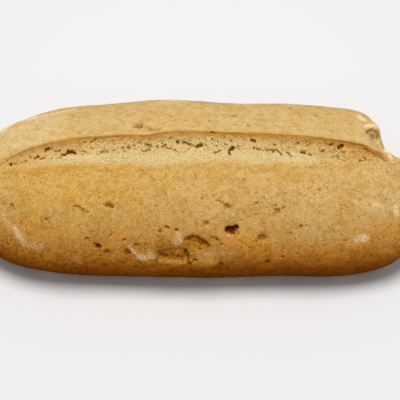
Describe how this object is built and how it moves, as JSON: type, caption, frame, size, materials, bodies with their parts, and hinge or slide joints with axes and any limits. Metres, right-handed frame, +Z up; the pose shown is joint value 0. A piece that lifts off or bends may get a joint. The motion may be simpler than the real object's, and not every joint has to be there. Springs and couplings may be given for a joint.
{
  "type": "rustic bread loaf",
  "caption": "Oblong rustic bread loaf with a matte golden crust, split along its crown by a long slash that shows pale crumb under a raised lip.",
  "frame": {"origin": "on the table under the middle of the loaf's box", "axes": "+X along the loaf, with the far half's torn end on its +X side; +Y towards the far half, which carries the lip; +Z up"},
  "size_m": [0.267, 0.1138, 0.0725],
  "materials": {
    "crust": "matte"
  },
  "bodies": {
    "root": {"loaf": "crust"}
  },
  "joints": []
}
